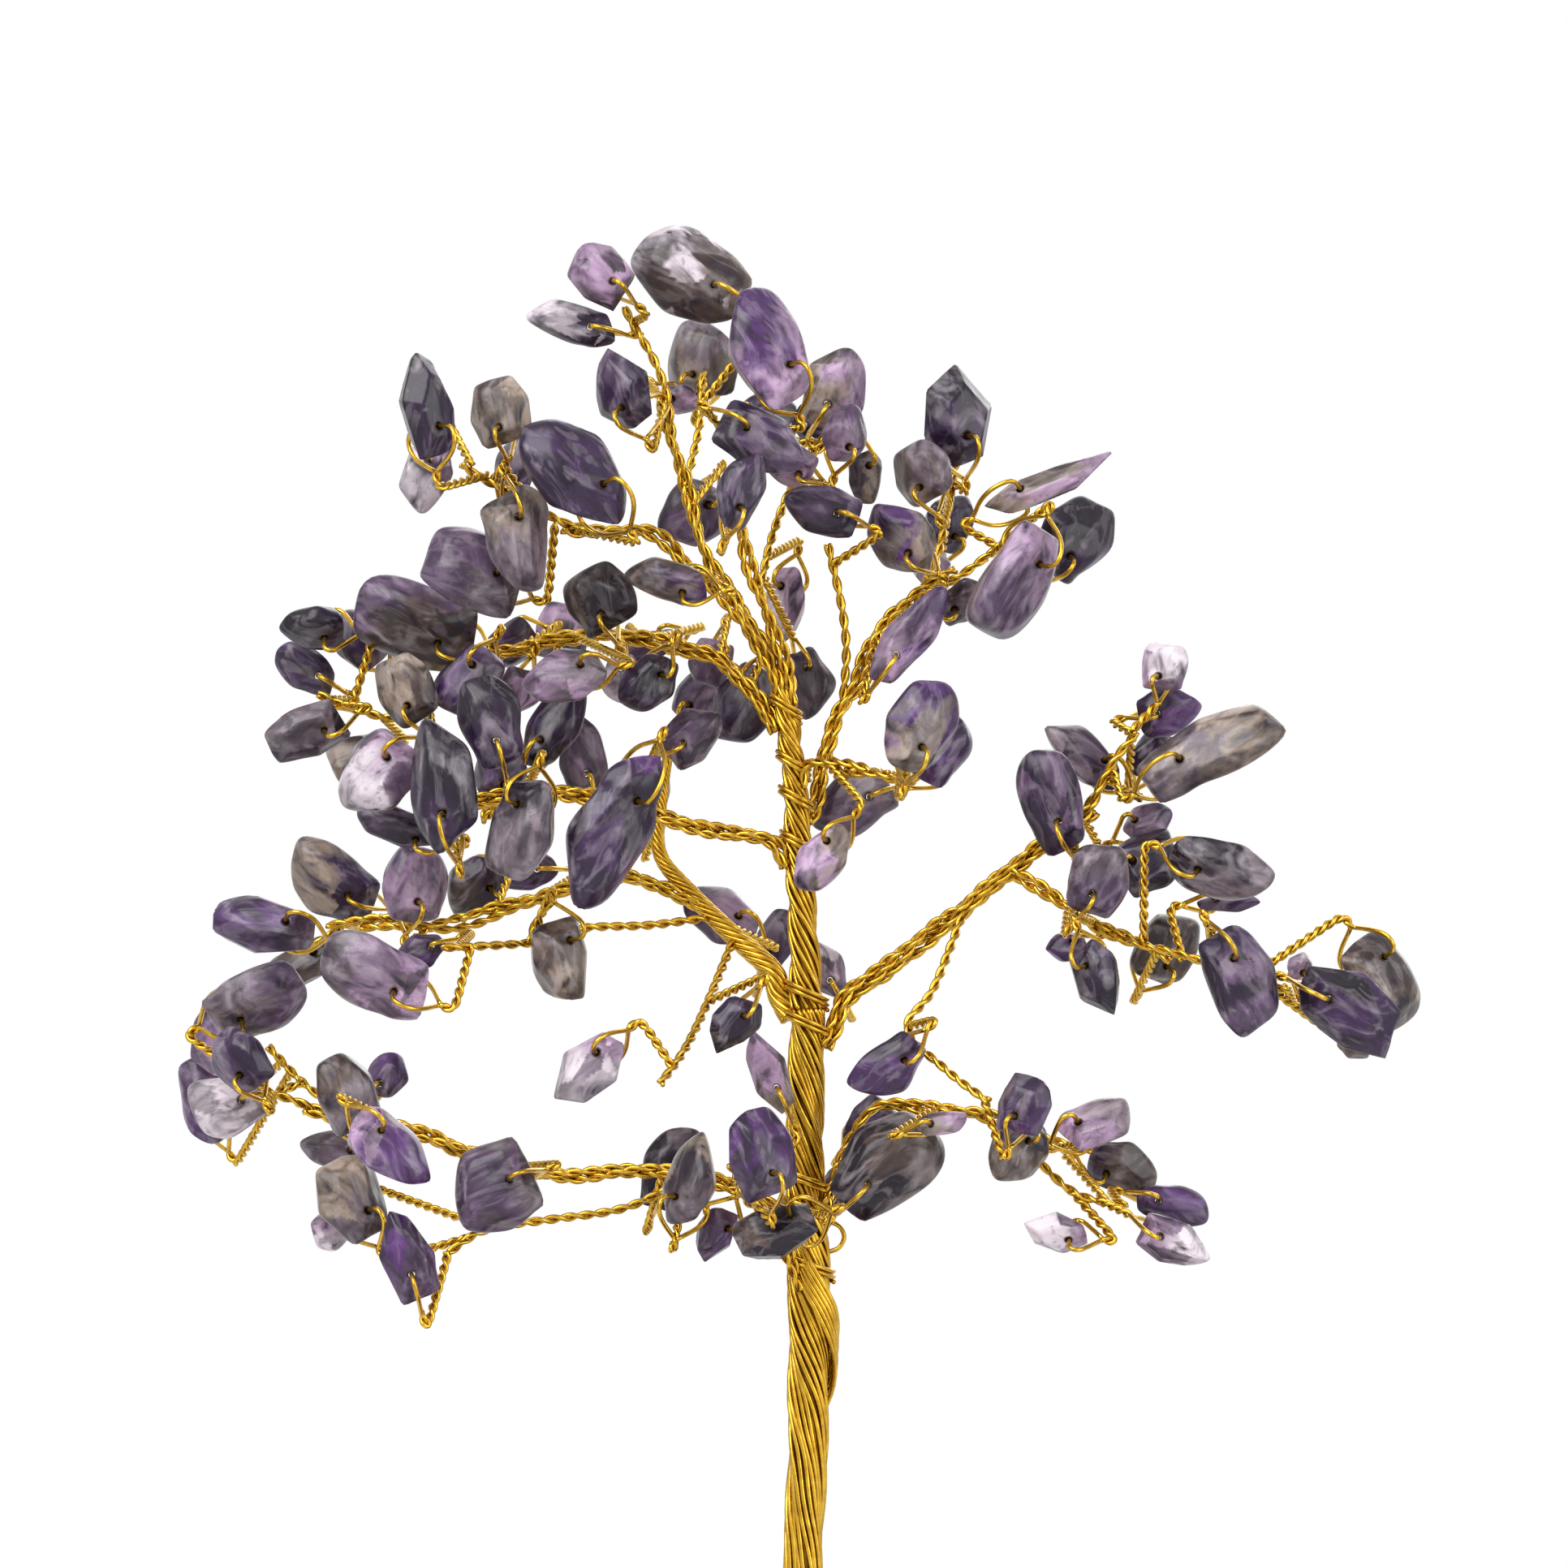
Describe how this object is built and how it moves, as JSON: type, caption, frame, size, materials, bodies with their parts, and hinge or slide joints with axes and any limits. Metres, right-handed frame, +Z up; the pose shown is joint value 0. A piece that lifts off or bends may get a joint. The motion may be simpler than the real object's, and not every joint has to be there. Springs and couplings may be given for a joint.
{
  "type": "gemstone tree ornament",
  "caption": "Small ornamental tree of drilled amethyst chips on twisted gold-coloured wire, whose branches swing on their wraps and whose hanging chips swivel, on a round wooden base",
  "frame": {"origin": "Middle of the base's underside, below the foot of the trunk", "axes": "+Z up along the trunk, -Y towards the viewer, +X to the viewer's right"},
  "size_m": [0.1531, 0.082, 0.2044],
  "materials": {
    "base": "satin turned wood",
    "wire": "bright gold-coloured drawn wire",
    "stone": "tumbled and polished, purple to smoky grey"
  },
  "bodies": {
    "trunk": {"base": "base", "trunk_core": "wire", "trunk_strands_lower": "wire", "trunk_strands_upper": "wire", "trunk_eye": "wire", "left_top_limbs": "wire", "left_top_twigs": "wire", "left_top_chips": "stone", "top_leader_limbs": "wire", "top_leader_twigs": "wire", "top_leader_chips": "stone", "top_centre_limbs": "wire", "top_centre_twigs": "wire", "top_centre_chips": "stone"},
    "low_left": {"low_left_limbs": "wire", "low_left_twigs": "wire", "low_left_chips": "stone"},
    "low_right": {"low_right_limbs": "wire", "low_right_twigs": "wire", "low_right_chips": "stone"},
    "low_front": {"low_front_limbs": "wire", "low_front_twigs": "wire", "low_front_chips": "stone"},
    "mid_left": {"mid_left_limbs": "wire", "mid_left_twigs": "wire", "mid_left_chips": "stone"},
    "inner_left": {"inner_left_limbs": "wire", "inner_left_twigs": "wire", "inner_left_chips": "stone"},
    "upper_left": {"upper_left_limbs": "wire", "upper_left_twigs": "wire", "upper_left_chips": "stone"},
    "right_leader": {"right_leader_limbs": "wire", "right_leader_twigs": "wire", "right_leader_chips": "stone"},
    "right_small": {"right_small_limbs": "wire", "right_small_twigs": "wire", "right_small_chips": "stone"},
    "right_big": {"right_big_limbs": "wire", "right_big_twigs": "wire", "right_big_chips": "stone"},
    "chip_top_left": {"chip_top_left": "stone"},
    "chip_top_dark": {"chip_top_dark": "stone"},
    "chip_left_tall": {"chip_left_tall": "stone"},
    "chip_left_clear": {"chip_left_clear": "stone"},
    "chip_right_dark": {"chip_right_dark": "stone"},
    "chip_right_shard": {"chip_right_shard": "stone"},
    "chip_far_right": {"chip_far_right": "stone"},
    "chip_right_hanging": {"chip_right_hanging": "stone"},
    "chip_drop_violet": {"chip_drop_violet": "stone"},
    "chip_low_pale": {"chip_low_pale": "stone"},
    "chip_low_clear": {"chip_low_clear": "stone"},
    "chip_front_black": {"chip_front_black": "stone"},
    "chip_drop_dark": {"chip_drop_dark": "stone"},
    "chip_drop_pale": {"chip_drop_pale": "stone"},
    "chip_left_hanging": {"chip_left_hanging": "stone"},
    "chip_low_tall": {"chip_low_tall": "stone"},
    "chip_left_violet": {"chip_left_violet": "stone"},
    "chip_far_left": {"chip_far_left": "stone"}
  },
  "joints": [
    {"name": "low_left_swing", "type": "hinge", "parent": "trunk", "child": "low_left", "pos_m": [0.0002, 0, 0.0822], "axis": [0, 0, 1], "range_deg": [-6, 6]},
    {"name": "low_right_swing", "type": "hinge", "parent": "trunk", "child": "low_right", "pos_m": [0.0002, 0, 0.0857], "axis": [0, 0, 1], "range_deg": [-6, 6]},
    {"name": "low_front_swing", "type": "hinge", "parent": "trunk", "child": "low_front", "pos_m": [0.00061, 0, 0.0752], "axis": [0, 0, 1], "range_deg": [-4, 4]},
    {"name": "mid_left_swing", "type": "hinge", "parent": "trunk", "child": "mid_left", "pos_m": [0.00038, 0, 0.1087], "axis": [0, 0, 1], "range_deg": [-6, 6]},
    {"name": "inner_left_swing", "type": "hinge", "parent": "trunk", "child": "inner_left", "pos_m": [-0.0006, 0, 0.1272], "axis": [0, 0, 1], "range_deg": [-5, 5]},
    {"name": "upper_left_swing", "type": "hinge", "parent": "trunk", "child": "upper_left", "pos_m": [-0.0022, 0, 0.144], "axis": [0, 0, 1], "range_deg": [-5, 5]},
    {"name": "right_leader_swing", "type": "hinge", "parent": "trunk", "child": "right_leader", "pos_m": [-0.00088, 0, 0.1327], "axis": [0, 0, 1], "range_deg": [-6, 6]},
    {"name": "right_small_swing", "type": "hinge", "parent": "trunk", "child": "right_small", "pos_m": [-0.00125, 0, 0.137], "axis": [0, 0, 1], "range_deg": [-6, 6]},
    {"name": "right_big_swing", "type": "hinge", "parent": "trunk", "child": "right_big", "pos_m": [0.00048, 0, 0.105], "axis": [0, 0, 1], "range_deg": [-6, 6]},
    {"name": "chip_top_left_swivel", "type": "hinge", "parent": "trunk", "child": "chip_top_left", "pos_m": [-0.02365, -0.00201, 0.19617], "axis": [-0.0895, 0.9903, -0.1066], "range_deg": [-30, 30]},
    {"name": "chip_top_dark_swivel", "type": "hinge", "parent": "trunk", "child": "chip_top_dark", "pos_m": [-0.02127, -0.00702, 0.1812], "axis": [0.3973, 0.8988, 0.1853], "range_deg": [-30, 30]},
    {"name": "chip_left_tall_swivel", "type": "hinge", "parent": "trunk", "child": "chip_left_tall", "pos_m": [-0.0455, -0.02245, 0.17797], "axis": [-0.5538, 0.829, -0.0778], "range_deg": [-30, 30]},
    {"name": "chip_left_clear_swivel", "type": "hinge", "parent": "trunk", "child": "chip_left_clear", "pos_m": [-0.03669, -0.01574, 0.17822], "axis": [0.2048, 0.9781, 0.0361], "range_deg": [-30, 30]},
    {"name": "chip_right_dark_swivel", "type": "hinge", "parent": "right_leader", "child": "chip_right_dark", "pos_m": [0.01938, 0.01586, 0.1777], "axis": [-0.3387, 0.9397, -0.0476], "range_deg": [-30, 30]},
    {"name": "chip_right_shard_swivel", "type": "hinge", "parent": "right_leader", "child": "chip_right_shard", "pos_m": [0.02727, 0.0132, 0.1704], "axis": [0.2602, 0.788, -0.558], "range_deg": [-30, 30]},
    {"name": "chip_far_right_swivel", "type": "hinge", "parent": "right_big", "child": "chip_far_right", "pos_m": [0.06391, -0.01823, 0.10851], "axis": [0.0147, 0.9994, 0.0316], "range_deg": [-30, 30]},
    {"name": "chip_right_hanging_swivel", "type": "hinge", "parent": "right_big", "child": "chip_right_hanging", "pos_m": [0.03523, -0.01461, 0.11271], "axis": [0.4353, 0.8829, 0.1759], "range_deg": [-30, 30]},
    {"name": "chip_drop_violet_swivel", "type": "hinge", "parent": "right_big", "child": "chip_drop_violet", "pos_m": [0.02625, -0.02919, 0.0941], "axis": [0.3214, 0.9397, -0.117], "range_deg": [-30, 30]},
    {"name": "chip_low_pale_swivel", "type": "hinge", "parent": "low_right", "child": "chip_low_pale", "pos_m": [0.04357, -0.01844, 0.07968], "axis": [0.0738, 0.9903, 0.118], "range_deg": [-30, 30]},
    {"name": "chip_low_clear_swivel", "type": "hinge", "parent": "low_right", "child": "chip_low_clear", "pos_m": [0.0325, -0.01615, 0.0797], "axis": [0.0761, 0.8988, 0.4317], "range_deg": [-30, 30]},
    {"name": "chip_front_black_swivel", "type": "hinge", "parent": "low_front", "child": "chip_front_black", "pos_m": [-0.00121, -0.02087, 0.08083], "axis": [0.1913, 0.829, -0.5255], "range_deg": [-30, 30]},
    {"name": "chip_drop_dark_swivel", "type": "hinge", "parent": "mid_left", "child": "chip_drop_dark", "pos_m": [-0.00761, -0.01734, 0.10661], "axis": [-0.1703, 0.9781, 0.1193], "range_deg": [-30, 30]},
    {"name": "chip_drop_pale_swivel", "type": "hinge", "parent": "mid_left", "child": "chip_drop_pale", "pos_m": [-0.02467, -0.02104, 0.10133], "axis": [0.2418, 0.9397, -0.2418], "range_deg": [-30, 30]},
    {"name": "chip_left_hanging_swivel", "type": "hinge", "parent": "mid_left", "child": "chip_left_hanging", "pos_m": [-0.03009, -0.01596, 0.11542], "axis": [-0.6133, 0.788, -0.0537], "range_deg": [-30, 30]},
    {"name": "chip_low_tall_swivel", "type": "hinge", "parent": "low_left", "child": "chip_low_tall", "pos_m": [-0.04775, -0.02067, 0.07487], "axis": [-0.0337, 0.9994, -0.009], "range_deg": [-30, 30]},
    {"name": "chip_left_violet_swivel", "type": "hinge", "parent": "mid_left", "child": "chip_left_violet", "pos_m": [-0.06423, 0.00874, 0.11651], "axis": [-0.0815, 0.8829, -0.4623], "range_deg": [-30, 30]},
    {"name": "chip_far_left_swivel", "type": "hinge", "parent": "upper_left", "child": "chip_far_left", "pos_m": [-0.05927, 0.00125, 0.14184], "axis": [-0.117, 0.9397, 0.3214], "range_deg": [-30, 30]}
  ]
}
